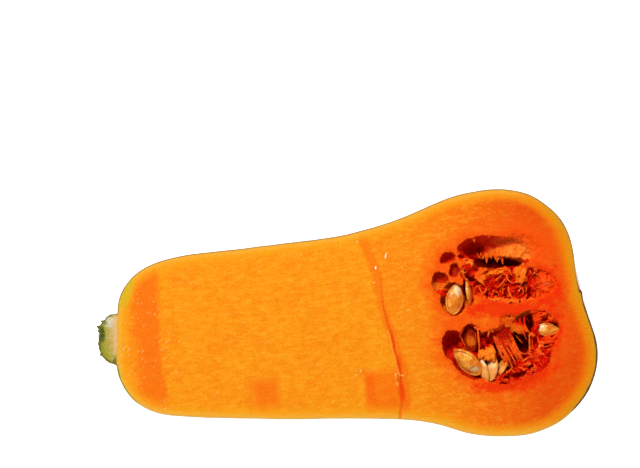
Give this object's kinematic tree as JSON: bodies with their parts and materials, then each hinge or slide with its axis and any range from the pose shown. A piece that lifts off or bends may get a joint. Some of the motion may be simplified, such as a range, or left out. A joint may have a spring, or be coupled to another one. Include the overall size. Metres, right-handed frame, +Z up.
{
  "type": "butternut squash half",
  "caption": "Half a butternut squash cut lengthwise: pear-shaped body with a straight neck, open seed hollows full of stringy pulp and flat seeds, and a short corky stem.",
  "frame": {"origin": "on the surface it lies on, under the middle of the bounding box", "axes": "+X from the stem end to the blossom end, +Y across the cut face, +Z up; the cut face leans 8.15 degrees, higher at the blossom end"},
  "size_m": [0.2294, 0.1152, 0.0634],
  "materials": {
    "flesh": "satin",
    "pulp": "gloss",
    "seed": "satin",
    "stem": "matte"
  },
  "bodies": {
    "root": {"flesh": "flesh", "pulp_upper": "pulp", "pulp_lower": "pulp", "stem": "stem", "seed_bay_large": "seed", "seed_bay_edge": "seed", "seed_upper_buried": "seed", "seed_hollow_long": "seed", "seed_fan_first": "seed", "seed_fan_second": "seed", "seed_fan_third": "seed", "seed_blossom_end": "seed", "seed_veiled": "seed"}
  },
  "joints": []
}
